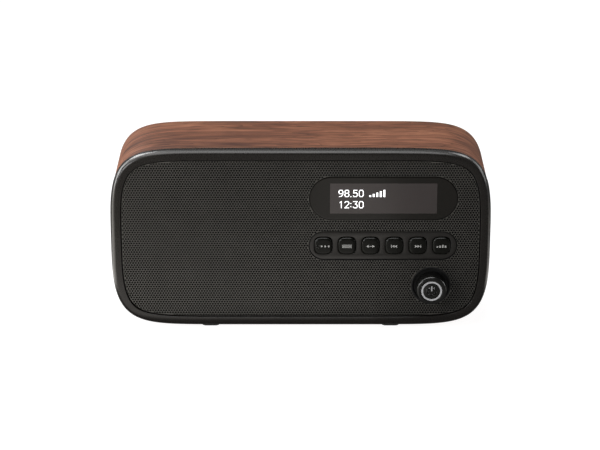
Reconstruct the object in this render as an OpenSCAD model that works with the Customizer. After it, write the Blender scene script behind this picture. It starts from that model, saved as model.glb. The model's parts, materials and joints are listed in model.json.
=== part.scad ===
// Tabletop digital radio: wood sleeve, moulded front with perforated grille, rear cover and folding mast.
// +Z is up and the front faces -Y. The origin is the middle of the object's box, on the surface it stands on.
// Modules are written in the cabinet frame: y runs back from the bezel's front plane, x and z from its centre.

/* [Cabinet] */
// Width of the cabinet
cab_w = 250; // [246:1:260]
// Height of the cabinet without its feet
cab_h = 123.6; // [123:0.1:130]
// Depth from the bezel's front plane to the sleeve's rear edge
cab_d = 64; // [60:1:70]
// Squareness of the outline across its width
square_x = 9.3; // [8:0.1:12]
// Squareness of the outline over its height
square_z = 3.7; // [3.5:0.1:4.5]
// Wall of the wood sleeve
sleeve_t = 5; // [4.5:0.1:5]
// Height of the feet below the cabinet
foot_h = 3.1; // [2:0.1:5]

/* [Front] */
// Width of the bezel's rim around the grille
rim_w = 7.4; // [7:0.1:8]
// How far the bezel's round front edge reaches in from the outline
rim_r = 3.2; // [2:0.1:5]
// Width of the display window and of the button panel
pill_w = 97; // [95:1:98]
// Height of the display window
window_h = 29.8; // [27:0.1:30]
// Height of the button panel
panel_h = 19.2; // [18:0.5:20]
// Centre of the display window and button panel, right of the middle
pill_x = 54.2; // [53:0.1:55]
// Centre of the display window, above the middle
window_z = 28.35; // [28:0.05:29]
// Centre of the button row, above the middle
panel_z = -4.65; // [-6:0.05:-4.5]
// Spacing of the buttons
button_pitch = 15.54; // [15:0.01:16]
// Width and height of a button cap
button_w = 11.7; // [10.5:0.1:12]
// How far a button goes in
button_travel = 0.7; // [0.4:0.1:0.8]

/* [Knob] */
// Radius of the volume knob
knob_r = 10.05; // [9:0.05:10.5]
// How far the knob stands out from the bezel's front plane
knob_proud = 9.4; // [8.5:0.1:12]
// Centre of the knob, right of the middle
knob_x = 86.3; // [85:0.1:87]
// Centre of the knob, above the middle
knob_z = -32.8; // [-34:0.1:-32]

/* [Speaker] */
// Radius of the speaker's frame
speaker_r = 39; // [38:0.5:40]
// Centre of the speaker, right of the middle
speaker_x = -58; // [-60:1:-57]

/* [Antenna] */
// How far the rear panel stands out behind the sleeve
rear_proud = 9; // [9:0.5:12]
// Length of each mast tube
mast_len = 130; // [100:5:135]
// How far each mast tube slides out
mast_stroke = 118; // [80:1:118]
// Pivot of the mast, right of the middle
mast_x = 88; // [86:0.5:90]
// Pivot of the mast, above the middle
mast_z = 47; // [46:0.5:47]

/* [Hidden] */
$fn = 48;
eps = 0.01;            // overrun that keeps cuts clear of coplanar faces
outline_n = 96;        // points on the cabinet outline
rear_y = cab_d + rear_proud;
lip_t = 2;             // thickness of the rear frame's plate
lip_y = cab_d + lip_t;
front_y = -(rear_y - knob_proud) / 2;
mid_z = foot_h + cab_h / 2;

// Depths of the front stack, behind the bezel's front plane
grille_y = 1;
grille_t = 0.8;
cloth_t = 0.4;
baffle_y = grille_y + grille_t + cloth_t;
baffle_t = 3;
flange_y = baffle_y + baffle_t;
flange_t = 2.4;        // thickness of the bezel's inner flange
baffle_screw_z = cab_h / 2 - rim_w - 2.5;
seat_y = 3;            // depth of the seats for the button panel and the knob collar
board_y = 10;          // front of the control board
board_t = 1.6;
gap = 0.15;            // clearance round inserted trims
sleeve_y = 6.2;         // front edge of the sleeve
rim_d = 5.2;            // depth of the bezel's round front edge
sleeve_in = 0.3;       // how far the sleeve sits inside the outline
main_y = rear_y - 16;  // front of the main board
post = [101, -38, 34.5]; // x, lower z and upper z of the case screws
post_end = cab_d - 3;

window_clear = [75, 23.5];
keys_x = pill_x - 0.4;  // centre of the row of buttons
key_slot = [5 * button_pitch + 14.4, 15];
jack_z = -38;
jack_x = [34, 50, 66, 84]; // service port, headphone jack, line-in jack, power inlet
main_box = [-4, 96, -48, 12];
main_posts = [[2, -42], [90, -28], [2, 6], [90, 6]];
control_box = [0.5, 96, -44, 4.5];
control_posts = [[4, -40], [70, -40], [4, -5], [92.5, -18]];
display_posts = [for (sx = [-1, 1]) [pill_x + sx * 40, window_z - 2]];
foot_pos = [for (x = [-60.2, 60.2], y = [13.6, 54]) [x, y]];
foot_size = [12.6, 10];

// Mast: the fork's hinge pin lies across the mast, in front of the rear-most plane
pin_y = lip_y + 3.6;
tube_r = [3.1, 2.65, 2.2, 1.75, 1.3];
tube_wall = 0.35;
mast_start = 6.5;      // from the hinge pin to the first tube
plug_len = 6;
ledge_z = mast_z - tube_r[0] - 0.4;

function unit(v) = v / norm(v);
function lame(t, p) = sign(t) * pow(abs(t), 2 / p);

// The cabinet outline, a superellipse, drawn in by a distance along its own normals
function outline(inset = 0) = [for (i = [0:outline_n - 1])
  let (t = 360 * i / outline_n, a = cab_w / 2, b = cab_h / 2,
       p = [a * lame(cos(t), square_x), b * lame(sin(t), square_z)],
       g = [sign(p[0]) * pow(abs(p[0] / a), square_x - 1) * square_x / a,
            sign(p[1]) * pow(abs(p[1] / b), square_z - 1) * square_z / b])
  p - inset * unit(g)];

// A rectangle with round corners, and a squircle
function rounded(w, h, r, k = 7) = [for (c = [[1, 1, 0], [-1, 1, 90], [-1, -1, 180], [1, -1, 270]], i = [0:k])
  let (t = c[2] + 90 * i / k) [c[0] * (w / 2 - r) + r * cos(t), c[1] * (h / 2 - r) + r * sin(t)]];
function squircle(w, h, p = 3.2, k = 32) = [for (i = [0:k - 1])
  let (t = 360 * (i + 0.5) / k) [w / 2 * lame(cos(t), p), h / 2 * lame(sin(t), p)]];
function pill(w, h) = rounded(w, h, h / 2 - 0.2);
function button_x(i) = keys_x + (i - 2.5) * button_pitch;

// Route through hand-chosen points, as a smooth curve, and the rings of a tube along it
function spline(p, i, s) = let (a = p[max(i - 1, 0)], b = p[i], c = p[i + 1], d = p[min(i + 2, len(p) - 1)])
  0.5 * (2 * b + (c - a) * s + (2 * a - 5 * b + 4 * c - d) * s * s + (3 * b - a - 3 * c + d) * s * s * s);
function route(p, k) = [for (i = [0:len(p) - 2], j = [0:k - 1]) spline(p, i, j / k), p[len(p) - 1]];
function heading(q, i) = unit(q[min(i + 1, len(q) - 1)] - q[max(i - 1, 0)]);
function rings(q, r, sides) = [for (i = [0:len(q) - 1], j = [0:sides - 1])
  let (t = heading(q, i), u = unit(cross(t, [0.31, 0.2, 0.93])), v = cross(t, u), a = 360 * j / sides)
  q[i] + r * (cos(a) * u + sin(a) * v)];

module tube_along(points, r, k = 4, sides = 8) {
  q = route(points, k);
  n = len(q);
  polyhedron(rings(q, r, sides), concat(
    [[for (j = [0:sides - 1]) sides - 1 - j]],
    [for (i = [0:n - 2], j = [0:sides - 1]) let (m = (j + 1) % sides)
      [i * sides + j, i * sides + m, (i + 1) * sides + m, (i + 1) * sides + j]],
    [[for (j = [0:sides - 1]) (n - 1) * sides + j]]));
}

module place() translate([0, front_y, mid_z]) children();

// Extrudes an x-z shape from depth y0 to y1
module slab(y0, y1) translate([0, y1, 0]) rotate([90, 0, 0]) linear_extrude(y1 - y0) children();

// A round bar from depth y0 to y1, at x and z
module bar(r, y0, y1, x = 0, z = 0) translate([x, y1, z]) rotate([90, 0, 0]) cylinder(r = r, h = y1 - y0);

// A box from one corner to the other
module block(x0, x1, y0, y1, z0, z1) translate([x0, y0, z0]) cube([x1 - x0, y1 - y0, z1 - z0]);

// Revolves a profile of [radius, depth] points about the y axis
module turned(points, x = 0, z = 0) translate([x, 0, z]) rotate([-90, 0, 0])
  rotate_extrude() polygon([for (p = points) [p[0], p[1]]]);

// A pan-head screw, head towards the rear when dir is 1 and towards the front when it is -1
module screw(x, y, z, shank, len, head, head_h, dir = 1) {
  y_tip = y - dir * len;
  y_head = y + dir * head_h;
  difference() {
    union() {
      bar(shank, min(y, y_tip), max(y, y_tip), x, z);
      bar(head, min(y, y_head), max(y, y_head), x, z);
    }
    for (a = [0, 90]) translate([x, y_head, z]) rotate([0, a, 0])
      cube([head * 1.2, head_h, head * 0.3], center = true);
  }
}

// ---- Cabinet ----

module wood_sleeve() color([0.47, 0.27, 0.19]) difference() {
  slab(sleeve_y, cab_d) polygon(outline(sleeve_in));
  slab(sleeve_y - 1, cab_d + 1) polygon(outline(sleeve_in + sleeve_t));
  for (p = foot_pos) translate([p[0], p[1], -cab_h / 2 - 1]) cylinder(r = 1.2, h = 4.5);
}

// The bezel's round front edge is a stack of outlines that follows a quarter of an ellipse
module bezel_edge() hull() {
  for (a = [0:18:90]) {
    y = rim_d * (1 - cos(a));
    slab(y, y + eps) polygon(outline(rim_r * (1 - sin(a))));
  }
  slab(rim_d, sleeve_y - 0.8) polygon(outline(0));
}

module front_bezel() color([0.16, 0.15, 0.16]) difference() {
  spigot = sleeve_in + sleeve_t + 0.3;
  union() {
    bezel_edge();
    slab(rim_d, sleeve_y) polygon(outline(1.2));
    slab(rim_d, 16) polygon(outline(spigot));
  }
  slab(-1, flange_y) polygon(outline(rim_w));
  slab(flange_y - 1, 17) polygon(outline(rim_w + 4.6));
  slab(flange_y + flange_t, 17) polygon(outline(spigot + 2));
  for (x = [-75, 0, 75], s = [-1, 1]) bar(1.5, flange_y - 1, flange_y + 3, x, s * baffle_screw_z);
}

module feet() color([0.05, 0.05, 0.05]) for (p = foot_pos)
  translate([p[0], p[1], -cab_h / 2 - foot_h]) difference() {
    union() {
      linear_extrude(0.5) polygon(rounded(foot_size[0] - 1, foot_size[1] - 1, 2.7));
      translate([0, 0, 0.5]) linear_extrude(foot_h + sleeve_in - 0.5)
        polygon(rounded(foot_size[0], foot_size[1], 3.2));
    }
    translate([0, 0, -eps]) cylinder(r = 2.6, h = 1.6);
    cylinder(r = 1.25, h = foot_h + 2);
  }

module foot_screws() color([0.6, 0.6, 0.62]) for (p = foot_pos)
  translate([p[0], p[1], -cab_h / 2 - foot_h]) {
    translate([0, 0, 0.6]) cylinder(r = 2.3, h = 0.95);
    translate([0, 0, 1.5]) cylinder(r = 1.15, h = foot_h + 1);
  }

// ---- Front ----

module front_baffle() color([0.12, 0.12, 0.12]) difference() {
  union() {
    slab(baffle_y, flange_y) polygon(outline(rim_w + 0.3));
    for (p = control_posts) bar(3, flange_y - 1, board_y, p[0], p[1]);
    for (s = [-1, 1], k = [1, 2]) bar(4, flange_y - 1, post_end, s * post[0], post[k]);
  }
  for (s = [-1, 1], k = [1, 2]) bar(1.3, post_end - 9, post_end + 1, s * post[0], post[k]);
  bar(speaker_r - 4.5, baffle_y - 1, flange_y + 1, speaker_x, 0);
  for (a = [45:90:315]) bar(1.2, baffle_y + 1, flange_y + 1,
    speaker_x + (speaker_r - 2.4) * cos(a), (speaker_r - 2.4) * sin(a));
  translate([pill_x, 0, window_z]) slab(baffle_y - 1, flange_y + 1) square(window_clear, center = true);
  translate([pill_x, 0, panel_z]) {
    slab(baffle_y - 1, seat_y) polygon(pill(pill_w, panel_h));
    slab(baffle_y, flange_y + 1) translate([keys_x - pill_x, 0]) square(key_slot, center = true);
  }
  bar(13.4, baffle_y - 1, seat_y, knob_x, knob_z);
  bar(3.6, baffle_y, flange_y + 1, knob_x, knob_z);
  for (p = control_posts) bar(1.2, baffle_y + 1, board_y + 1, p[0], p[1]);
  for (p = display_posts) bar(1.2, baffle_y + 1, flange_y + 1, p[0], p[1]);
  for (x = [-75, 0, 75], s = [-1, 1]) bar(1.2, baffle_y + 1, flange_y + 1, x, s * baffle_screw_z);
}

// The sheet that the grille and its cloth are cut from, with the openings for the trims
module front_sheet(inset, extra) difference() {
  polygon(outline(inset));
  translate([pill_x, window_z]) polygon(pill(pill_w + extra, window_h + extra));
  translate([pill_x, panel_z]) polygon(pill(pill_w + extra, panel_h + extra));
  translate([knob_x, knob_z]) circle(r = 13.25 + extra / 2);
}

module grille_panel() color([0.1, 0.1, 0.1]) slab(grille_y, grille_y + grille_t) front_sheet(rim_w + 0.2, 0);

module grille_cloth() color([0.03, 0.03, 0.03])
  slab(grille_y + grille_t, baffle_y) front_sheet(rim_w + 0.6, 1);

module display_window() color([0.06, 0.06, 0.06]) translate([pill_x, 0, window_z])
  slab(grille_y - 0.1, baffle_y) polygon(pill(pill_w - 2 * gap, window_h - 2 * gap));

module display_module() color([0.25, 0.25, 0.27]) translate([pill_x, 0, window_z]) {
  slab(baffle_y + 0.1, flange_y) square(window_clear - [1, 1], center = true);
}

module display_board() color([0.1, 0.3, 0.18]) difference() {
  translate([pill_x, 0, window_z]) slab(flange_y, flange_y + board_t) square([84, 29], center = true);
  for (p = display_posts) bar(1.5, flange_y - 1, flange_y + 3, p[0], p[1]);
}

module button_panel() color([0.17, 0.16, 0.16]) translate([pill_x, 0, panel_z])
  slab(grille_y + 0.4, seat_y) difference() {
    polygon(pill(pill_w - 2 * gap, panel_h - 2 * gap));
    for (i = [0:5]) translate([button_x(i) - pill_x, 0]) polygon(squircle(button_w + 0.6, button_w + 0.6));
  }

module button(i) color([0.08, 0.08, 0.08]) translate([button_x(i), 0, panel_z]) {
  slab(-0.1, 0.5) polygon(squircle(button_w - 1, button_w - 1));
  slab(0.5, 3.05) polygon(squircle(button_w, button_w));
  slab(3.05, 3.9) polygon(squircle(13.4, 13.4, 6));
  bar(1.5, 3.9, 8);
}

module button_switches() color([0.2, 0.2, 0.2]) for (i = [0:5]) translate([button_x(i), 0, panel_z])
  difference() {
    slab(6.6, board_y) square(6, center = true);
    bar(1.6, 6, 9);
  }

module control_board() color([0.1, 0.3, 0.18]) difference() {
  block(control_box[0], control_box[1], board_y, board_y + board_t, control_box[2], control_box[3]);
  for (p = control_posts) bar(1.5, board_y - 1, board_y + 3, p[0], p[1]);
}

// ---- Rotary encoder and knob ----

module knob_collar() color([0.04, 0.04, 0.04]) turned([[3.6, 2.2], [11.6, 2.2], [12.1, grille_y - 0.1],
  [13.1, grille_y - 0.1], [13.1, seat_y], [3.6, seat_y]], knob_x, knob_z);

module encoder_housing() color([0.35, 0.35, 0.37]) translate([knob_x, 0, knob_z]) difference() {
  union() {
    slab(flange_y, board_y) square(12, center = true);
    bar(3.5, 0.4, flange_y + 1);
  }
  bar(3.05, 0, 7);
  bar(4.6, 6.4, board_y + 1);
}

module encoder_nut() color([0.6, 0.6, 0.62]) translate([knob_x, 0, knob_z]) difference() {
  translate([0, 2.2, 0]) rotate([90, 0, 0]) cylinder(r = 5.6, h = 1.6, $fn = 6);
  bar(3.55, 0, 3);
}

module d_bar(r, y0, y1) difference() {
  bar(r, y0, y1);
  block(-r - 1, r + 1, y0 - 1, -1.5, r * 0.6, r + 1);
}

module encoder_shaft() color([0.7, 0.7, 0.72]) translate([knob_x, 0, knob_z]) {
  d_bar(3, -8, 8.6);
  bar(4.2, 6.8, 7.6);
}

module encoder_plunger() color([0.1, 0.1, 0.1]) bar(2.2, 8.65, 9.3, knob_x, knob_z);

module knob() color([0.06, 0.06, 0.06]) translate([knob_x, 0, knob_z]) difference() {
  turned([[0, -knob_proud], [knob_r - 1.6, -knob_proud], [knob_r - 0.5, 0.5 - knob_proud],
    [knob_r, 1.7 - knob_proud], [knob_r, 1.2], [8.4, 1.2], [8.4, -3], [5, -3], [5, -0.3], [0, -0.3]]);
  bar(6.9, -knob_proud - 1, 0.5 - knob_proud);
  d_bar(3, -8, 0);
}

module knob_badge() color([0.6, 0.6, 0.62]) translate([knob_x, 0, knob_z]) difference() {
  bar(6.85, -knob_proud, 0.5 - knob_proud);
  bar(5.7, -knob_proud - 1, 0.3 - knob_proud);
}

// ---- Speaker ----

module at_speaker() translate([speaker_x, 0, 0]) children();

module speaker_basket() color([0.15, 0.15, 0.16]) at_speaker() {
  basket_frame();
  block(22.6, 25.5, 24, 25.4, -2, 5);
}

module basket_frame() difference() {
  turned([[33.6, flange_y], [speaker_r, flange_y], [speaker_r, flange_y + 1.6], [34.8, flange_y + 1.6],
    [23, 24], [23, 25.4], [13.4, 25.4], [13.4, 24], [21.9, 24], [33.6, flange_y + 1.5]]);
  for (a = [0:60:300]) rotate([0, a, 0]) block(-6, 6, 10, 23.5, 20, 40);
  for (a = [45:90:315]) bar(1.5, flange_y - 1, flange_y + 3,
    (speaker_r - 2.4) * cos(a), (speaker_r - 2.4) * sin(a));
}

module speaker_magnet() color([0.2, 0.2, 0.2]) at_speaker()
  turned([[14.5, 27.4], [27, 27.4], [27, 37.4], [14.5, 37.4]]);

module speaker_yoke() color([0.6, 0.6, 0.62]) at_speaker() {
  turned([[13.3, 25.4], [24, 25.4], [24, 27.4], [13.3, 27.4]]);
  turned([[0, 25.4], [12.1, 25.4], [12.1, 37.4], [25, 37.4], [25, 40.4], [0, 40.4]]);
}

module voice_coil() color([0.72, 0.4, 0.2]) at_speaker() turned([[12.5, 14], [12.9, 14], [12.9, 31], [12.5, 31]]);

module speaker_cone() color([0.1, 0.1, 0.1]) at_speaker()
  turned([[12.9, 14], [28.6, 6.6], [29.4, 6.6], [29.4, 7.2], [28.8, 7.2], [13.6, 14.4], [13.6, 16], [12.9, 16]]);

module dust_cap() color([0.08, 0.08, 0.08]) at_speaker()
  turned([[0, 9.6], [4, 10], [8, 11.2], [11, 13], [12.5, 14], [11.6, 14], [7.8, 11.9], [4, 10.6], [0, 10.2]]);

module speaker_surround() color([0.05, 0.05, 0.05]) at_speaker()
  turned(concat([for (a = [180:-18:0]) [31.5 + 2 * cos(a), 6.8 - 2 * sin(a)]],
    [for (a = [0:18:180]) [31.5 + 1.5 * cos(a), 6.8 - 1.5 * sin(a)]]));

module speaker_spider() color([0.75, 0.6, 0.3]) at_speaker()
  turned([for (s = [0, 1], i = [0:8]) let (k = s == 0 ? i : 8 - i)
    [13 + k * 1.4, 19.6 + 0.5 * (k % 2) + (s == 0 ? 0 : 0.5)]]);

module speaker_screws() color([0.3, 0.3, 0.3]) at_speaker() for (a = [45:90:315])
  screw((speaker_r - 2.4) * cos(a), flange_y + 1.6, (speaker_r - 2.4) * sin(a), 1.15, 3.6, 1.7, 1.2);

module baffle_screws() color([0.3, 0.3, 0.3]) for (x = [-75, 0, 75], s = [-1, 1])
  screw(x, flange_y + flange_t, s * baffle_screw_z, 1.15, 4.2, 2, 1.3);

// ---- Boards behind the rear cover ----

module main_board() color([0.1, 0.3, 0.18]) difference() {
  block(main_box[0], main_box[1], main_y, main_y + board_t, main_box[2], main_box[3]);
  for (p = main_posts) bar(1.5, main_y - 1, main_y + 3, p[0], p[1]);
}

module tuner_shield() color([0.7, 0.7, 0.72]) difference() {
  block(52, 82, main_y - 4, main_y, -22, 2);
  block(52.5, 81.5, main_y - 3.5, main_y + 1, -21.5, 1.5);
}

// Capacitors, chips, a coil and the plugs for the leads
module board_parts() color([0.08, 0.08, 0.1]) {
  for (x = [16, 27]) bar(4, main_y - 12, main_y, x, -34);
  bar(3, main_y - 8, main_y, 38, -36);
  block(30, 42, main_y - 1.6, main_y, -14, -2);
  block(58, 66, main_y - 1.4, main_y, -36, -28);
  block(10, 22, main_y - 7, main_y, 2, 8);
  block(70, 84, main_y - 6, main_y, 5, 10);
  bar(5, main_y - 6, main_y, 50, -34);
}

module heat_sink() color([0.55, 0.55, 0.57]) {
  block(6, 24, main_y - 3, main_y, -22, -8);
  for (i = [0:4]) block(6 + 4 * i, 7.4 + 4 * i, main_y - 12, main_y - 3, -22, -8);
}

module board_screws() color([0.3, 0.3, 0.3]) {
  for (p = main_posts) screw(p[0], main_y, p[1], 1.15, 8, 2.2, 1.3, -1);
  for (p = control_posts) screw(p[0], board_y + board_t, p[1], 1.15, 6, 2.2, 1.3);
  for (p = display_posts) screw(p[0], flange_y + board_t, p[1], 1.15, 3, 2.2, 1.3);
}

// Two leads from the speaker's terminals to a plug on the main board
module speaker_leads() color([0.6, 0.1, 0.1]) for (i = [0, 1])
  tube_along([[-32.44, 24.3, 3 * i], [-30.5, 24.3, 3 * i], [-26, 25.6, 3 * i], [-18, 29, 2 + 3 * i],
    [-8, 34, 5 + 3 * i], [2 + i, 39, 5 + 3 * i], [11 + 3 * i, 44, 5 + 2 * i],
    [14 + 3.5 * i, main_y - 10, 5], [14 + 3.5 * i, main_y - 7.06, 5]], 0.8);

// Flat cable from the display board to the main board
module display_ribbon() color([0.85, 0.85, 0.8]) translate([70, 0, 0]) rotate([90, 0, 90])
  linear_extrude(14) polygon([[flange_y + board_t, 24], [15, 24], [44, 10], [44, 7.3], [main_y - 6, 7.3],
    [main_y - 6, 7.7], [44.4, 7.7], [44.4, 10.3], [15.2, 24.4], [flange_y + board_t, 24.4]]);

// ---- Rear cover ----

// The flat frame that closes the sleeve, with a collar that centres it and the hole the mast turns in
module rear_frame() color([0.07, 0.07, 0.07]) difference() {
  union() {
    slab(cab_d - 5, cab_d) polygon(outline(sleeve_in + sleeve_t + 0.3));
    slab(cab_d, lip_y) polygon(outline(2));
  }
  slab(cab_d - 6, cab_d) polygon(outline(sleeve_in + sleeve_t + 2.6));
  slab(cab_d - 1, lip_y + 1) below(ledge_z - 2.2) polygon(outline(sleeve_in + sleeve_t + 2.6));
  bar(4, cab_d - 1, lip_y + 1, mast_x, mast_z);
}

module below(z) intersection() {
  children();
  translate([-cab_w, -cab_h]) square([2 * cab_w, cab_h + z]);
}

// The housing behind the frame: a shallow tray with the sockets, whose top is the ledge under the mast
module rear_panel() color([0.07, 0.07, 0.07]) difference() {
  union() {
    difference() {
      slab(lip_y, rear_y) below(ledge_z) polygon(outline(5));
      slab(lip_y - 1, rear_y - 2.2) difference() {
        below(ledge_z - 2.2) polygon(outline(sleeve_in + sleeve_t + 2.6));
        translate([mast_x, mast_z]) circle(r = 9.7);
      }
    }
    for (s = [-1, 1], k = [1, 2]) bar(6, post_end, rear_y, s * post[0], post[k]);
    for (p = main_posts) bar(3, main_y + board_t, rear_y - 2, p[0], p[1]);
  }
  for (s = [-1, 1], k = [1, 2]) {
    bar(1.7, post_end - 1, rear_y + 1, s * post[0], post[k]);
    bar(4.2, post_end + 2.5, rear_y + 1, s * post[0], post[k]);
  }
  for (p = main_posts) bar(1.2, main_y, rear_y - 4, p[0], p[1]);
  for (i = [1, 2]) bar(4.3, rear_y - 3, rear_y + 1, jack_x[i], jack_z);
  bar(5.1, rear_y - 3, rear_y + 1, jack_x[3], jack_z);
  translate([jack_x[0], 0, jack_z]) slab(rear_y - 3, rear_y + 1) polygon(rounded(10.4, 4.6, 2));
  translate([-10, 0, -6]) slab(rear_y - 0.4, rear_y + 1) polygon(rounded(56.4, 26.4, 2.2));
  bar(7.5, lip_y - 1, rear_y + 1, mast_x, mast_z);
}

module rear_screws() color([0.3, 0.3, 0.3]) for (s = [-1, 1], k = [1, 2])
  screw(s * post[0], post_end + 2.5, post[k], 1.25, 9, 3.4, 2);

module jack(x, bore_r) translate([x, 0, jack_z]) difference() {
  union() {
    slab(main_y + board_t, rear_y - 2.2) square([11, 9.6], center = true);
    bar(4.2, rear_y - 3, rear_y);
  }
  bar(bore_r, rear_y - 14, rear_y + 1);
}

module headphone_jack() color([0.05, 0.05, 0.05]) jack(jack_x[1], 1.8);
module line_in_jack() color([0.05, 0.05, 0.05]) jack(jack_x[2], 1.8);

module power_inlet() color([0.05, 0.05, 0.05]) translate([jack_x[3], 0, jack_z]) {
  difference() {
    union() {
      slab(main_y + board_t, rear_y - 2.2) square([11, 11], center = true);
      bar(5, rear_y - 3, rear_y);
    }
    bar(2.85, rear_y - 11, rear_y + 1);
  }
  bar(1, rear_y - 12, rear_y - 1.5);
}

module service_port() color([0.6, 0.6, 0.62]) translate([jack_x[0], 0, jack_z]) {
  difference() {
    slab(main_y + board_t, rear_y - 0.3) polygon(rounded(9.6, 3.8, 1.7));
    slab(rear_y - 7, rear_y) polygon(rounded(8.4, 2.7, 1.2));
  }
  block(-3.1, 3.1, rear_y - 8, rear_y - 1.4, -0.35, 0.35);
}

module rating_plate() color([0.3, 0.3, 0.3]) translate([-10, 0, -6])
  slab(rear_y - 0.4, rear_y - 0.1) polygon(rounded(56, 26, 2));

// ---- Mast ----

module at_mast() translate([mast_x, pin_y, mast_z]) children();

// A bar or tube along -x from the hinge pin, between two distances from it
module mast_bar(r, d0, d1) translate([-d1, 0, 0]) rotate([0, 90, 0]) cylinder(r = r, h = d1 - d0);

module mast_swivel() color([0.55, 0.55, 0.57]) {
  bar(3.92, cab_d - 1.8, lip_y + 0.5, mast_x, mast_z);
  difference() {
    union() {
      bar(6, lip_y + 0.1, lip_y + 1, mast_x, mast_z);
      at_mast() for (s = [-1, 1]) translate([0, 0, s * 2.2]) {
        cylinder(r = 2.9, h = 1.7, center = true);
        translate([0, -1.4, 0]) cube([5.8, 2.6, 1.7], center = true);
      }
    }
    at_mast() cylinder(r = 1, h = 8, center = true);
  }
}

module mast_nut() color([0.6, 0.6, 0.62]) difference() {
  bar(5, cab_d - 1.7, cab_d - 0.1, mast_x, mast_z);
  bar(3.92, cab_d - 3, cab_d + 1, mast_x, mast_z);
}

module mast_pin() color([0.6, 0.6, 0.62]) at_mast() cylinder(r = 1, h = 6.1, center = true);

// The first tube ends in the tongue that turns between the fork's ears
module mast_tube_1() color([0.75, 0.75, 0.77]) at_mast() difference() {
  union() {
    cylinder(r = 2.45, h = 2.5, center = true);
    translate([-mast_start / 2, 0, 0]) cube([mast_start + 1, 4.8, 2.5], center = true);
    mast_bar(tube_r[0], mast_start, mast_start + plug_len + mast_len + 2);
  }
  cylinder(r = 1.06, h = 8, center = true);
  mast_bar(tube_r[0] - tube_wall, mast_start + plug_len, mast_start + plug_len + mast_len + 3);
}

module mast_tube(i) color([0.75, 0.75, 0.77]) at_mast() difference() {
  d = mast_start + plug_len;
  mast_bar(tube_r[i], d + 0.8 * i, d + mast_len + 2 + 0.8 * i);
  mast_bar(tube_r[i] - tube_wall, d - 1, d + mast_len + 3 + 0.8 * i);
}

module mast_rod() color([0.75, 0.75, 0.77]) at_mast() {
  d = mast_start + plug_len;
  mast_bar(tube_r[4], d + 3.2, d + mast_len + 5.6);
  mast_bar(tube_r[0], d + mast_len + 5.4, d + mast_len + 10.4);
}

place() wood_sleeve();
place() front_bezel();
place() front_baffle();
place() grille_panel();
place() grille_cloth();
place() display_window();
place() display_module();
place() display_board();
place() button_panel();
place() control_board();
place() button_switches();
place() encoder_housing();
place() encoder_nut();
place() knob_collar();
place() speaker_basket();
place() speaker_magnet();
place() speaker_yoke();
place() speaker_surround();
place() speaker_spider();
place() speaker_screws();
place() main_board();
place() tuner_shield();
place() board_parts();
place() heat_sink();
place() rear_frame();
place() rear_panel();
place() rear_screws();
place() power_inlet();
place() headphone_jack();
place() line_in_jack();
place() service_port();
place() rating_plate();
place() feet();
place() foot_screws();
place() board_screws();
place() baffle_screws();
place() speaker_leads();
place() display_ribbon();
place() speaker_cone();
place() dust_cap();
place() voice_coil();
place() button(0);  // mode_button
place() button(1);  // menu_button
place() button(2);  // scan_button
place() button(3);  // previous_button
place() button(4);  // next_button
place() button(5);  // preset_button
place() encoder_plunger();
place() encoder_shaft();
place() knob();
place() knob_badge();
place() mast_swivel();
place() mast_nut();
place() mast_pin();
place() mast_tube_1();
place() mast_tube(1);  // mast_tube_2
place() mast_tube(2);  // mast_tube_3
place() mast_tube(3);  // mast_tube_4
place() mast_rod();
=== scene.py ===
"""Looks for the tabletop radio. Metres, in the CAD frame: +X right, +Y back, +Z up, on z = 0."""
import json
import math
import bpy
import numpy as np
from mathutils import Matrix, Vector
from mathutils.geometry import delaunay_2d_cdt


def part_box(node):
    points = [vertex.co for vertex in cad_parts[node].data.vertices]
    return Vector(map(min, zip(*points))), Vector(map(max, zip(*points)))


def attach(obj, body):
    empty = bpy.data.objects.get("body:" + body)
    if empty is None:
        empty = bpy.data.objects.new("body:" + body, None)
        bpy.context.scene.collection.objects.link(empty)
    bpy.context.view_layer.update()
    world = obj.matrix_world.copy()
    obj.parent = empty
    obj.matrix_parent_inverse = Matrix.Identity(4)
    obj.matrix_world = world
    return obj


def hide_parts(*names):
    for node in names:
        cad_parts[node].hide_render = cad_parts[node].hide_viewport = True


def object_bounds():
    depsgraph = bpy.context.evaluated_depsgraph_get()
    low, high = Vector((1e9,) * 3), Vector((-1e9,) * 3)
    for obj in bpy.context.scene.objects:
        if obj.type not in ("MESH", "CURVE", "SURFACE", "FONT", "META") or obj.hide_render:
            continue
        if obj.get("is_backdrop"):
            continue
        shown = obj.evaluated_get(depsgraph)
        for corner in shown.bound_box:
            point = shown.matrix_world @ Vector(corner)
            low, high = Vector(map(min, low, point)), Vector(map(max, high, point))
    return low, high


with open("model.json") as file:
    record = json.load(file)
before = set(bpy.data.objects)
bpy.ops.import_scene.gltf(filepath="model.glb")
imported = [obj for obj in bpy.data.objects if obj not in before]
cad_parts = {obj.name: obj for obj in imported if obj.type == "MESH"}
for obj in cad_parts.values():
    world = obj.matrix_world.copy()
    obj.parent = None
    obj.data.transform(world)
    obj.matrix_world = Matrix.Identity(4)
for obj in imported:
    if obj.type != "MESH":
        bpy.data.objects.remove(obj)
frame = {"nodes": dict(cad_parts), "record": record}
cad_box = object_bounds()
MM = 0.001
S = bpy.context.scene

# ---- Places, from the CAD -------------------------------------------------------------------
bez_lo, bez_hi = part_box("front_bezel")
MID = (bez_lo + bez_hi) / 2            # x and z of the cabinet's centre
FRONT = bez_lo.y                       # the bezel's front plane
HALF_W, HALF_H = (bez_hi.x - bez_lo.x) / 2, (bez_hi.z - bez_lo.z) / 2
sl_lo, sl_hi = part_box("wood_sleeve")
gr_lo, gr_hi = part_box("grille_panel")
SQUARE_X, SQUARE_Z = 9.3, 3.7          # squareness of the cabinet outline


def centre(node):
    lo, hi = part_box(node)
    return (lo + hi) / 2


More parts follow.
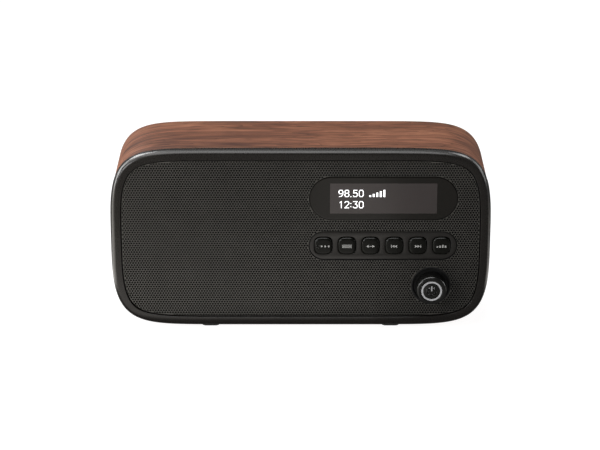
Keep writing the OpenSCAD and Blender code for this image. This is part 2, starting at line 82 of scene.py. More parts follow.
# ---- Camera ---------------------------------------------------------------------------------
ELEVATION = math.radians(20.6)
DISTANCE = 1.485
aim = Vector((MID.x, FRONT + 4.2 * MM, MID.z))
cam = bpy.data.objects.new("camera", bpy.data.cameras.new("camera"))
S.collection.objects.link(cam)
cam.location = aim + DISTANCE * Vector((0, -math.cos(ELEVATION), math.sin(ELEVATION)))
cam.rotation_euler = (math.pi / 2 - ELEVATION, 0, 0)
cam.data.sensor_width = 36
cam.data.lens = 135.25
cam.data.shift_x, cam.data.shift_y = -0.001, 0.0207
cam.data.clip_start, cam.data.clip_end = 0.1, 20
S.camera = cam
S.view_settings.view_transform = "Standard"
S.view_settings.look = "None"

# ---- Light and floor ------------------------------------------------------------------------


def area(name, at, target, size, power, colour=(1, 1, 1), shape_y=None):
    light = bpy.data.lights.new(name, "AREA")
    light.shape = "RECTANGLE"
    light.size, light.size_y = size, shape_y or size
    light.energy, light.color = power, colour
    o = bpy.data.objects.new(name, light)
    o.location = at
    o.rotation_euler = (Vector(target) - Vector(at)).to_track_quat("-Z", "Y").to_euler()
    S.collection.objects.link(o)
    return o


world = bpy.data.worlds.new("world")
S.world = world
world.use_nodes = True
wn, wl = world.node_tree.nodes, world.node_tree.links
wn.clear()
w_out = wn.new("ShaderNodeOutputWorld")
w_mix = wn.new("ShaderNodeMixShader")
w_path = wn.new("ShaderNodeLightPath")
w_seen = wn.new("ShaderNodeBackground")
w_lit = wn.new("ShaderNodeBackground")
w_seen.inputs["Color"].default_value = (1, 1, 1, 1)
w_seen.inputs["Strength"].default_value = 1.0
w_lit.inputs["Color"].default_value = (1, 1, 1, 1)
w_lit.inputs["Strength"].default_value = 0.12
wl.new(w_path.outputs["Is Camera Ray"], w_mix.inputs["Fac"])
wl.new(w_lit.outputs[0], w_mix.inputs[1])
wl.new(w_seen.outputs[0], w_mix.inputs[2])
wl.new(w_mix.outputs[0], w_out.inputs["Surface"])

area("key", (-0.55, -0.50, 0.30), (0, 0, 0.07), 0.3, 4.6)
area("top", (-0.20, 0.05, 1.25), (0, 0.02, 0), 0.7, 15.4).visible_glossy = False
# Pale cards on the floor in front: the light on the front fades from left to right
for name, x_lo, x_hi, y_lo, y_hi, glow, diffuse in (
        ("card_fill", -0.60, 0.00, -0.60, -0.10, 2.3, True), ("card_1", -0.60, -0.02, -0.80, -0.05, 0.46, False),
        ("card_2", -0.60, 0.02, -0.80, -0.05, 0.46, False), ("card_3", -0.60, 0.07, -0.80, -0.05, 0.46, False),
        ("card_4", -0.60, 0.60, -0.80, -0.05, 0.16, False), ("card_left", -0.55, -0.17, -0.20, 0.04, 4.5, False),
        ("card_far", -1.10, -0.55, -0.25, 0.12, 9.0, False), ("card_right", 0.17, 0.50, -0.20, 0.04, 2.4, False),
        ("card_near", -0.34, 0.05, -0.14, -0.045, 0.50, False)):
    at = ((x_lo + x_hi) / 2, (y_lo + y_hi) / 2, 0.004)
    w, d = x_hi - x_lo, y_hi - y_lo
    card = area(name, at, (at[0], at[1], 1), w, glow * math.pi * w * d, (1, 0.96, 0.90), d)
    card.visible_camera, card.visible_diffuse, card.visible_glossy = False, diffuse, not diffuse
# Softboxes that only gloss sees, for the light along the rounded edges
for name, at, size, size_y, power in (
        ("shine_top", (-0.10, -0.27, 1.0), 0.9, 0.8, 14), ("shine_corner", (-0.75, -0.15, 0.80), 0.36, 0.36, 2.5),
        ("shine_back", (-0.05, 0.36, 1.0), 0.7, 0.4, 1.2), ("shine_back_left", (-0.62, 0.42, 0.95), 0.5, 0.5, 19),
        ("shine_back_right", (0.62, 0.42, 0.95), 0.4, 0.4, 7), ("shine_left", (-0.88, 0.22, 0.42), 0.45, 0.5, 9),
        ("shine_low_left", (-0.95, -0.02, 0.16), 0.3, 0.3, 5), ("shine_right", (0.85, 0.30, 0.45), 0.4, 0.4, 2.6),
        ("shine_low_right", (0.95, 0.0, 0.24), 0.4, 0.36, 3)):
    area(name, at, (0, 0, 0.08), size, power, shape_y=size_y).visible_diffuse = False

floor_mesh = bpy.data.meshes.new("floor")
floor_mesh.from_pydata([(-6, -6, 0), (6, -6, 0), (6, 6, 0), (-6, 6, 0)], [], [(0, 1, 2, 3)])
floor = bpy.data.objects.new("floor", floor_mesh)
S.collection.objects.link(floor)
floor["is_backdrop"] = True
floor.visible_glossy = False

# ---- Materials ------------------------------------------------------------------------------


class Nodes:
    """A short way to write node trees."""

    def __init__(self, name, base, rough, metallic=0.0, specular=0.5, coat=0.0, coat_rough=0.1):
        self.mat = bpy.data.materials.new(name)
        self.mat.use_nodes = True
        self.t = self.mat.node_tree
        self.b = self.t.nodes["Principled BSDF"]
        self.set(self.b, "Base Color", (*base, 1))
        self.set(self.b, "Roughness", rough)
        self.set(self.b, "Metallic", metallic)
        self.set(self.b, "Specular IOR Level", specular)
        self.set(self.b, "Coat Weight", coat)
        self.set(self.b, "Coat Roughness", coat_rough)
        self.coords = self.t.nodes.new("ShaderNodeTexCoord")

    def set(self, node, socket, value):
        node.inputs[socket].default_value = value

    def node(self, kind, **settings):
        n = self.t.nodes.new(kind)
        for key, value in settings.items():
            if key in n.inputs:
                n.inputs[key].default_value = value
            else:
                setattr(n, key, value)
        return n

    def link(self, a, b):
        self.t.links.new(a, b)

    def scaled(self, scale, source=None):
        m = self.node("ShaderNodeMapping")
        m.inputs["Scale"].default_value = scale if hasattr(scale, "__len__") else (scale,) * 3
        self.link(source or self.coords.outputs["Object"], m.inputs["Vector"])
        return m.outputs["Vector"]

    def noise(self, scale, detail=4.0, roughness=0.6, source=None, distortion=0.0):
        n = self.node("ShaderNodeTexNoise", Scale=1.0, Detail=detail, Roughness=roughness, Distortion=distortion)
        self.link(self.scaled(scale, source), n.inputs["Vector"])
        return n.outputs["Fac"]

    def ramp(self, fac, stops):
        r = self.node("ShaderNodeValToRGB")
        e = r.color_ramp.elements
        while len(e) < len(stops):
            e.new(0.5)
        for k, (at, colour) in enumerate(stops):
            e[k].position, e[k].color = at, (*colour, 1)
        self.link(fac, r.inputs["Fac"])
        return r.outputs["Color"]

    def fit(self, fac, lo, hi):
        m = self.node("ShaderNodeMapRange")
        m.inputs["To Min"].default_value, m.inputs["To Max"].default_value = lo, hi
        self.link(fac, m.inputs["Value"])
        return m.outputs["Result"]

    def bump(self, height, strength, distance, under=None):
        n = self.node("ShaderNodeBump", Strength=strength, Distance=distance)
        self.link(height, n.inputs["Height"])
        if under is not None:
            self.link(under, n.inputs["Normal"])
        return n.outputs["Normal"]

    def to(self, output, socket):
        self.link(output, self.b.inputs[socket])
        return self


def shade(colour, k):
    return tuple(min(1.0, c * k) for c in colour)


def moulded(name, base, rough, grain=900, depth=0.02, specular=0.5, vary=0.12, coat=0.0):
    """Moulded plastic: a fine spark-eroded texture, with slight differences of tone and gloss."""
    m = Nodes(name, base, rough, specular=specular, coat=coat)
    patch = m.noise(60, 3)
    m.to(m.ramp(patch, [(0.25, shade(base, 1 - vary)), (0.75, shade(base, 1 + vary))]), "Base Color")
    fine = m.noise(grain, 5, 0.7)
    m.to(m.fit(fine, rough - 0.05, rough + 0.07), "Roughness")
    m.to(m.bump(fine, 0.5, depth * MM), "Normal")
    return m.mat


def metal(name, base, rough, stretch=(30, 900, 900), depth=0.004):
    """Metal with fine drawing lines along X."""
    m = Nodes(name, base, rough, metallic=1.0)
    lines = m.noise(stretch, 4, 0.7)
    m.to(m.ramp(lines, [(0.2, shade(base, 0.9)), (0.8, shade(base, 1.07))]), "Base Color")
    m.to(m.fit(lines, rough - 0.05, rough + 0.1), "Roughness")
    m.to(m.bump(lines, 0.3, depth * MM), "Normal")
    return m.mat


def rubber(name, base, rough=0.75):
    m = Nodes(name, base, rough, specular=0.3)
    dust = m.noise(400, 6, 0.7)
    m.to(m.ramp(dust, [(0.35, base), (0.8, shade(base, 1.9))]), "Base Color")
    m.to(m.bump(dust, 0.5, 0.03 * MM), "Normal")
    return m.mat


def woven(name, base, pitch=0.4):
    """Plain weave, drawn with two crossed sets of threads."""
    m = Nodes(name, base, 0.85, specular=0.05)
    k = 2 * math.pi / (pitch * MM)
    split = m.node("ShaderNodeSeparateXYZ")
    m.link(m.coords.outputs["Object"], split.inputs[0])
    waves = []
    for axis in ("X", "Z"):
        mul = m.node("ShaderNodeMath", operation="MULTIPLY")
        mul.inputs[1].default_value = k
        m.link(split.outputs[axis], mul.inputs[0])
        sine = m.node("ShaderNodeMath", operation="SINE")
        m.link(mul.outputs[0], sine.inputs[0])
        waves.append(sine.outputs[0])
    cross = m.node("ShaderNodeMath", operation="MULTIPLY")
    m.link(waves[0], cross.inputs[0])
    m.link(waves[1], cross.inputs[1])
    h = m.node("ShaderNodeMapRange")
    h.inputs["From Min"].default_value = -1
    m.link(cross.outputs[0], h.inputs["Value"])
    m.to(m.ramp(h.outputs["Result"], [(0.0, shade(base, 0.5)), (1.0, shade(base, 1.4))]), "Base Color")
    m.to(m.bump(h.outputs["Result"], 0.7, 0.1 * MM), "Normal")
    return m.mat


def board(name, base):
    """Printed board: solder mask over tracks that show as a slightly lighter, raised net."""
    m = Nodes(name, base, 0.35, coat=0.3)
    cells = m.node("ShaderNodeTexVoronoi", feature="DISTANCE_TO_EDGE", distance="MANHATTAN")
    cells.inputs["Scale"].default_value = 1
    m.link(m.scaled(260), cells.inputs["Vector"])
    m.to(m.ramp(cells.outputs["Distance"], [(0.04, shade(base, 2.2)), (0.07, base)]), "Base Color")
    m.to(m.bump(cells.outputs["Distance"], 0.2, 0.05 * MM), "Normal")
    return m.mat


def ferrite(name, base):
    m = Nodes(name, base, 0.6, metallic=0.3)
    speck = m.noise(700, 8, 0.8)
    m.to(m.ramp(speck, [(0.3, shade(base, 0.6)), (0.7, shade(base, 1.5))]), "Base Color")
    m.to(m.bump(speck, 0.5, 0.05 * MM), "Normal")
    return m.mat


def walnut(name):
    """Walnut veneer. The grain runs round the sleeve: U is the way round, V the depth, in metres."""
    m = Nodes(name, (0.17, 0.075, 0.045), 0.6, specular=0.14)
    uv = m.node("ShaderNodeUVMap", uv_map="wrap").outputs["UV"]
    figure = m.noise((7, 62, 1), 3, 0.5, uv, distortion=0.8)
    streak = m.noise((20, 300, 1), 6, 0.75, uv, distortion=0.3)
    pores = m.noise((40, 620, 1), 3, 0.6, uv)
    mix = m.node("ShaderNodeMix", data_type="FLOAT", Factor=0.55)
    m.link(figure, mix.inputs[2])
    m.link(streak, mix.inputs[3])
    colour = m.ramp(mix.outputs[0], [(0.39, (0.064, 0.022, 0.011)), (0.47, (0.136, 0.050, 0.024)),
                                     (0.53, (0.206, 0.081, 0.041)), (0.61, (0.282, 0.121, 0.065))])
    # growth rings: thin dark lines where the figure passes each step
    many = m.node("ShaderNodeMath", operation="MULTIPLY")
    many.inputs[1].default_value = 11
    m.link(figure, many.inputs[0])
    step = m.node("ShaderNodeMath", operation="FRACT")
    m.link(many.outputs[0], step.inputs[0])
    rings = m.ramp(step.outputs[0], [(0.0, (0.42, 0.35, 0.31)), (0.16, (0.80, 0.76, 0.73)), (0.5, (1, 1, 1)), (1.0, (1, 1, 1))])
    dark = m.ramp(pores, [(0.40, (0.40, 0.33, 0.29)), (0.50, (1, 1, 1))])
    for layer, much in ((rings, 0.9), (dark, 0.8)):
        mul = m.node("ShaderNodeMix", data_type="RGBA", blend_type="MULTIPLY")
        mul.inputs[0].default_value = much
        m.link(colour, mul.inputs[6])
        m.link(layer, mul.inputs[7])
        colour = mul.outputs[2]
    m.to(colour, "Base Color")
    m.to(m.fit(streak, 0.52, 0.68), "Roughness")
    m.to(m.bump(pores, 0.35, 0.03 * MM, m.bump(streak, 0.25, 0.05 * MM)), "Normal")
    return m.mat


def plain_wood_edge(name):
    """The cut edge of the sleeve's plywood: thin plies along the way round."""
    m = Nodes(name, (0.25, 0.13, 0.08), 0.6, specular=0.3)
    uv = m.node("ShaderNodeUVMap", uv_map="wrap").outputs["UV"]
    fibres = m.noise((60, 900, 1), 4, 0.6, uv)
    m.to(m.ramp(fibres, [(0.3, (0.10, 0.045, 0.026)), (0.7, (0.22, 0.11, 0.07))]), "Base Color")
    m.to(m.bump(fibres, 0.3, 0.04 * MM), "Normal")
    return m.mat


def floor_paint(name):
    m = Nodes(name, (0.2, 0.2, 0.2), 0.7, specular=0.1)
    m.to(m.ramp(m.noise(3, 3), [(0.3, (0.19, 0.19, 0.19)), (0.7, (0.21, 0.21, 0.21))]), "Base Color")
    m.set(m.b, "Emission Color", (1, 1, 1, 1))
    m.set(m.b, "Emission Strength", 0.95)
    return m.mat


RECIPES = {
    "walnut": lambda: walnut("walnut"),
    "bezel_black": lambda: moulded("bezel_black", (0.0068, 0.0057, 0.0048), 0.27, 1600, 0.0015, specular=0.30),
    "inner_black": lambda: moulded("inner_black", (0.008, 0.008, 0.008), 0.6, specular=0.15),
    "grille_grey": lambda: moulded("grille_grey", (0.0335, 0.0313, 0.0266), 0.40, 1500, 0.004, specular=0.46),
    "cloth_black": lambda: woven("cloth_black", (0.0015, 0.0015, 0.0015)),
    "window_black": lambda: moulded("window_black", (0.0048, 0.0040, 0.0030), 0.18, 500, 0.001, specular=0.36, vary=0.05),
    "display_grey": lambda: moulded("display_grey", (0.025, 0.0200, 0.0193), 0.18, 900, 0.001, specular=0.6, vary=0.05),
    "panel_black": lambda: moulded("panel_black", (0.0065, 0.0054, 0.0044), 0.34, 1500, 0.003, specular=0.45),
    "key_black": lambda: moulded("key_black", (0.0030, 0.0030, 0.0023), 0.24, 1500, 0.002, specular=0.15),
    "knob_black": lambda: moulded("knob_black", (0.0035, 0.0035, 0.0032), 0.22, 1500, 0.004, specular=0.35),
    "badge_grey": lambda: moulded("badge_grey", (0.33, 0.33, 0.34), 0.45, 1200, 0.004),
    "circuit_green": lambda: board("circuit_green", (0.012, 0.07, 0.03)),
    "component_black": lambda: moulded("component_black", (0.018, 0.018, 0.02), 0.5),
    "tinned_steel": lambda: metal("tinned_steel", (0.55, 0.55, 0.56), 0.3),
    "plain_steel": lambda: metal("plain_steel", (0.5, 0.5, 0.5), 0.35),
    "black_steel": lambda: moulded("black_steel", (0.02, 0.02, 0.02), 0.35, 900, 0.01, coat=0.3),
    "ferrite": lambda: ferrite("ferrite", (0.045, 0.045, 0.047)),
    "basket_black": lambda: moulded("basket_black", (0.02, 0.02, 0.022), 0.4, 700, 0.02),
    "cone_paper": lambda: ferrite("cone_paper", (0.022, 0.022, 0.022)),
    "surround_rubber": lambda: rubber("surround_rubber", (0.01, 0.01, 0.01), 0.6),
    "spider_cloth": lambda: woven("spider_cloth", (0.42, 0.29, 0.11), 0.6),
    "copper": lambda: metal("copper", (0.7, 0.3, 0.13), 0.3, (900, 2500, 900)),
    "heat_sink_aluminium": lambda: metal("heat_sink_aluminium", (0.6, 0.6, 0.61), 0.4),
    "cover_black": lambda: moulded("cover_black", (0.014, 0.014, 0.014), 0.55, 700, 0.03),
    "jack_black": lambda: moulded("jack_black", (0.012, 0.012, 0.012), 0.25),
    "plate_grey": lambda: moulded("plate_grey", (0.09, 0.09, 0.09), 0.5, 1200, 0.003),
    "foot_rubber": lambda: rubber("foot_rubber", (0.014, 0.013, 0.012)),
    "lead_red": lambda: rubber("lead_red", (0.35, 0.02, 0.02), 0.45),
    "ribbon_white": lambda: moulded("ribbon_white", (0.6, 0.6, 0.56), 0.4),
    "mast_chrome": lambda: metal("mast_chrome", (0.50, 0.50, 0.51), 0.26, (20, 1500, 1500), 0.001),
}
MATS = {slot: make() for slot, make in RECIPES.items()}
floor.data.materials.append(floor_paint("floor_paint"))

mark_mat = moulded("mark_grey", (0.26, 0.26, 0.25), 0.5, 900, 0.001, vary=0.05)
lit = Nodes("lit_white", (0.8, 0.8, 0.8), 0.4)
lit.to(lit.ramp(lit.noise(900, 2), [(0.2, (0.82, 0.82, 0.84)), (0.8, (0.95, 0.95, 0.97))]), "Emission Color")
lit.set(lit.b, "Emission Strength", 0.85)
wood_edge_mat = plain_wood_edge("wood_edge")

for row in frame["record"]["subparts"]:
    node = frame["nodes"][row["node"]]
    node.data.materials.clear()
    node.data.materials.append(MATS[row["material_slot"]])
SLOT_OF = {row["node"]: row["material_slot"] for row in frame["record"]["subparts"]}

# ---- Mesh tools -----------------------------------------------------------------------------


def unit(a):
    return a / np.linalg.norm(a, axis=-1, keepdims=True)


def lame(v, p):
    return np.sign(v) * np.abs(v) ** (2 / p)


def resample(p, n):
    """n points at even spacing along a closed line."""
    q = np.vstack([p, p[:1]])
    run = np.concatenate([[0], np.cumsum(np.linalg.norm(np.diff(q, axis=0), axis=1))])
    at = np.linspace(0, run[-1], n, endpoint=False)
    return np.stack([np.interp(at, run, q[:, k]) for k in (0, 1)], 1)


OUTLINE_N = 400


def outline(inset_mm=0.0):
    """The cabinet outline in x and z about its centre, drawn in along its normals."""
    t = np.linspace(0, 2 * math.pi, 8000, endpoint=False)
    p = np.stack([HALF_W * lame(np.cos(t), SQUARE_X), HALF_H * lame(np.sin(t), SQUARE_Z)], 1)
    p = resample(p, OUTLINE_N)
    g = np.stack([np.sign(p[:, 0]) * np.abs(p[:, 0] / HALF_W) ** (SQUARE_X - 1) * SQUARE_X / HALF_W,
                  np.sign(p[:, 1]) * np.abs(p[:, 1] / HALF_H) ** (SQUARE_Z - 1) * SQUARE_Z / HALF_H], 1)
    return p - inset_mm * MM * unit(g)


def stadium(w, h, n=24, r=None):
    """A rectangle with round corners, in x and z about 0, counter-clockwise."""
    r = h / 2 - 1e-5 if r is None else r
    out = []
    for cx, cz, a0 in ((1, 1, 0), (-1, 1, 90), (-1, -1, 180), (1, -1, 270)):
        for k in range(n + 1):
            a = math.radians(a0 + 90 * k / n)
            out.append((cx * (w / 2 - r) + r * math.cos(a), cz * (h / 2 - r) + r * math.sin(a)))
    return np.array(out)


def squircle(w, p=4.0, n=96):
    t = np.linspace(0, 2 * math.pi, n, endpoint=False)
    return np.stack([w / 2 * lame(np.cos(t), p), w / 2 * lame(np.sin(t), p)], 1)


def mesh_object(name, verts, faces, slot, body="cabinet", smooth=35, material=None):
    me = bpy.data.meshes.new(name)
    me.from_pydata([tuple(v) for v in verts], [], [tuple(int(i) for i in f) for f in faces])
    me.materials.append(material or MATS[slot])
    me.validate()
    o = bpy.data.objects.new(name, me)
    S.collection.objects.link(o)
    me.shade_smooth()
    if smooth:
        me.set_sharp_from_angle(angle=math.radians(smooth))
    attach(o, body)
    return o


def ring_faces(rings, n, closed_rings=False):
    """Quads that join rings of n points, one after the other."""
    faces = []
    for k in range(rings if closed_rings else rings - 1):
        a, b = k * n, ((k + 1) % rings) * n
        for i in range(n):
            j = (i + 1) % n
            faces.append((a + i, a + j, b + j, b + i))
    return faces


def swept(name, profile, slot, body="cabinet", smooth=35, line=outline, material=None, wrap=False):
    """A closed profile of [inset mm, y] points swept round an outline."""
    rings = []
    for inset, y in profile:
        p = line(inset)
        rings.append(np.stack([MID.x + p[:, 0], np.full(len(p), y), MID.z + p[:, 1]], 1))
    n = len(rings[0])
    faces = ring_faces(len(rings), n, True)
    o = mesh_object(name, np.vstack(rings), faces, slot, body, smooth, material)
    if wrap:
        add_wrap(o, rings, faces, n)
    return o


def add_wrap(o, rings, faces, n):
    """UV map: U the length round the outline, V the length along the profile, in metres."""
    base = rings[0]
    run = np.concatenate([[0], np.cumsum(np.linalg.norm(np.diff(np.vstack([base, base[:1]]), axis=0), axis=1))])
    along = [0.0]
    for a, b in zip(rings, rings[1:] + rings[:1]):
        along.append(along[-1] + float(np.linalg.norm(b[0] - a[0])))
    uv = o.data.uv_layers.new(name="wrap")
    flat = np.zeros(len(o.data.loops) * 2, np.float32)
    for f, poly in enumerate(o.data.polygons):
        ring, i = divmod(f, n)
        back = run[-1] if i >= 3 * n // 4 else 0      # the veneer's joint is in the middle of the bottom
        a, b = run[i] - back, run[i + 1] - back
        corner = {faces[f][0]: (a, along[ring]), faces[f][1]: (b, along[ring]),
                  faces[f][2]: (b, along[ring + 1]), faces[f][3]: (a, along[ring + 1])}
        for loop in poly.loop_indices:
            u, v = corner[o.data.loops[loop].vertex_index]
            flat[2 * loop], flat[2 * loop + 1] = u, v
    uv.data.foreach_set("uv", flat)


def lathe(name, profile, at, slot, body="cabinet", axis="y", n=96, smooth=35):
    """A profile of [radius mm, position mm] points turned about an axis through a point."""
    verts, faces, rows = [], [], []
    for r, d in profile:
        if r < 1e-6:
            rows.append([len(verts)])
            verts.append((0, 0, d))
            continue
        rows.append(list(range(len(verts), len(verts) + n)))
        for k in range(n):
            a = 2 * math.pi * k / n
            verts.append((r * math.cos(a), r * math.sin(a), d))
    closed = profile[0][0] > 1e-6
    pairs = list(zip(rows, rows[1:])) + ([(rows[-1], rows[0])] if closed else [])
    for a, b in pairs:
        for k in range(n):
            j = (k + 1) % n
            face = [a[k % len(a)], a[j % len(a)], b[j % len(b)], b[k % len(b)]]
            face = list(dict.fromkeys(face))
            if len(face) > 2:
                faces.append(face)
    v = np.array(verts) * MM
    if axis == "y":      # the profile's second number is y
        v = np.stack([v[:, 0], v[:, 2], -v[:, 1]], 1)
    elif axis == "-x":   # the profile's second number is the distance towards -x
        v = np.stack([-v[:, 2], v[:, 0], -v[:, 1]], 1)
    v = v + np.array(at)
    return mesh_object(name, v, faces, slot, body, smooth)


def capped(name, levels, at, slot, body="cabinet", smooth=35, material=None, dome=None):
    """A closed solid from matching outlines, [(x-z points, y)], first and last filled."""
    rings = [np.stack([at[0] + p[:, 0], np.full(len(p), y), at[1] + p[:, 1]], 1) for p, y in levels]
    n = len(rings[0])
    verts = list(np.vstack(rings))
    faces = ring_faces(len(rings), n)
    for ring, flip in ((0, True), (len(rings) - 1, False)):
        c = rings[ring].mean(0)
        if dome and ring == 0:
            c = c + np.array([0, -dome, 0])
        verts.append(c)
        k = len(verts) - 1
        for i in range(n):
            j = (i + 1) % n
            faces.append((k, ring * n + j, ring * n + i) if flip else (k, ring * n + i, ring * n + j))
    return mesh_object(name, verts, faces, slot, body, smooth, material)


def arc(cx, cy, r, a0, a1, n=6):
    return [(cx + r * math.cos(math.radians(a0 + (a1 - a0) * k / n)),
             cy + r * math.sin(math.radians(a0 + (a1 - a0) * k / n))) for k in range(n + 1)]


# ---- Wood sleeve and bezel ------------------------------------------------------------------
y0, y1 = sl_lo.y, sl_hi.y
o_in = (sl_lo.x - bez_lo.x) / MM       # how far the sleeve sits inside the outline
WALL = 5.0
e = 0.45
profile = [(o_in + e - e * math.cos(math.radians(a)), y0 + (e - e * math.sin(math.radians(a))) * MM)
           for a in (0, 22.5, 45, 67.5, 90)]
profile += [(o_in + WALL, y0), (o_in + WALL, y1)]
profile += [(o_in + e - e * math.sin(math.radians(a)), y1 - (e - e * math.cos(math.radians(a))) * MM)
            for a in (0, 22.5, 45, 67.5, 90)]
sleeve = swept("sleeve", profile, "walnut", wrap=True)
sleeve.data.materials.append(wood_edge_mat)
for poly in sleeve.data.polygons:
    k = poly.index // OUTLINE_N
    poly.material_index = 1 if k in (4, 5, 6) else 0
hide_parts("wood_sleeve")

Y = lambda d: FRONT + d * MM           # depth behind the bezel's front plane, in mm
RIM, RIM_R, RIM_D = (gr_lo.x - bez_lo.x) / MM - 0.8, 3.2, 5.2
SEAM = (y0 - FRONT) / MM
bz = [(RIM_R - RIM_R * math.cos(math.radians(a)), Y(RIM_D - RIM_D * math.sin(math.radians(a))))
      for a in np.linspace(0, 90, 14)]
bz += [(RIM - 0.35 + 0.35 * math.sin(math.radians(a)), Y(0.35 - 0.35 * math.cos(math.radians(a))))
       for a in np.linspace(0, 90, 5)]
bz += [(RIM, Y(5.2)), (RIM + 4.6, Y(5.2)), (RIM + 4.6, Y(7.6)), (7.6, Y(7.6)), (7.6, Y(16)), (5.6, Y(16)),
       (5.6, Y(SEAM)), (1.2, Y(SEAM)), (1.2, Y(SEAM - 0.8)), (0.15, Y(SEAM - 0.8)), (0, Y(SEAM - 0.95))]
bezel = swept("bezel", bz, "bezel_black")
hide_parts("front_bezel")

# ---- Perforated grille ----------------------------------------------------------------------
w_lo, w_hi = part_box("display_window")
p_lo, p_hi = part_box("button_panel")
c_lo, c_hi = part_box("knob_collar")
WIN = ((w_lo + w_hi) / 2, (w_hi.x - w_lo.x) + 0.9 * MM, (w_hi.z - w_lo.z) + 0.9 * MM)
PAN = ((p_lo + p_hi) / 2, (p_hi.x - p_lo.x) + 1.4 * MM, (p_hi.z - p_lo.z) + 1.4 * MM)
COL = ((c_lo + c_hi) / 2, (c_hi.x - c_lo.x) / 2 + 0.15 * MM)
GRILLE_IN = (gr_lo.x - bez_lo.x) / MM
PITCH, ROW = 1.768 * MM, 1.531 * MM
HOLE_R, MARGIN = 0.735 * MM, 0.15 * MM


def pill_distance(p, c, w, h):
    """Distance outside a stadium, and the direction away from it."""
    r = h / 2
    q = p - np.array([c.x, c.z])
    near = np.stack([np.clip(q[:, 0], -(w / 2 - r), w / 2 - r), np.zeros(len(q))], 1)
    d = q - near
    length = np.linalg.norm(d, axis=1)
    return length - r, d / np.maximum(length, 1e-9)[:, None]


def rim_distance(p, inset=GRILLE_IN):
    """Distance inside the grille's outer edge, and the direction inwards, from the nearest edge point."""
    edge = outline(inset) + np.array([MID.x, MID.z])
    step = np.roll(edge, -1, 0) - np.roll(edge, 1, 0)
    inward = unit(np.stack([-step[:, 1], step[:, 0]], 1))
    best = np.full(len(p), 1e9)
    way = np.zeros((len(p), 2))
    for k in range(0, len(p), 4000):
        d = p[k:k + 4000, None, :] - edge[None]
        i = np.argmin((d ** 2).sum(2), 1)
        rows = np.arange(len(i))
        best[k:k + 4000] = (d[rows, i] * inward[i]).sum(1)
        way[k:k + 4000] = inward[i]
    return best, way


def sheet_distance(p):
    """Distance of points inside the sheet from its nearest edge, and the way further in."""
    options = [rim_distance(p), pill_distance(p, *WIN), pill_distance(p, *PAN)]
    q = p - np.array([COL[0].x, COL[0].z])
    length = np.linalg.norm(q, axis=1)
    options.append((length - COL[1], q / np.maximum(length, 1e-9)[:, None]))
    d = np.stack([o[0] for o in options])
    k = np.argmin(d, 0)
    cols = np.arange(len(p))
    return d[k, cols], np.stack([o[1] for o in options])[k, cols]


def hole_outlines(sides=8):
    nx, nz = int(HALF_W / PITCH) + 2, int(HALF_H / ROW) + 2
    centres = np.array([(MID.x + (i + 0.5 * (k % 2)) * PITCH, MID.z + k * ROW)
                        for k in range(-nz, nz + 1) for i in range(-nx, nx + 1)])
    d, _ = sheet_distance(centres)
    centres = centres[d > 0.12 * MM]
    d = d[d > 0.12 * MM]
    a = 2 * math.pi * (np.arange(sides) + 0.5) / sides
    ring = np.stack([np.cos(a), np.sin(a)], 1) * HOLE_R
    p = centres[:, None] + ring[None]
    cut = np.where(d < HOLE_R + MARGIN)[0]
    flat = p[cut].reshape(-1, 2)
    for _ in range(2):
        depth, way = sheet_distance(flat)
        flat = flat + way * np.maximum(MARGIN - depth, 0)[:, None]
    p[cut] = flat.reshape(-1, sides, 2)
    return centres, p


# The grille is made in two halves, which meet on a zigzag that runs between the holes
SEAM_ROWS = np.arange(-60, 61)
SEAM_Z = MID.z + SEAM_ROWS * ROW
SEAM_X = MID.x - 0.5 * PITCH * (SEAM_ROWS % 2 == 0)


def side(p):
    """How far points lie to the right of the zigzag."""
    return p[:, 0] - np.interp(p[:, 1], SEAM_Z, SEAM_X)


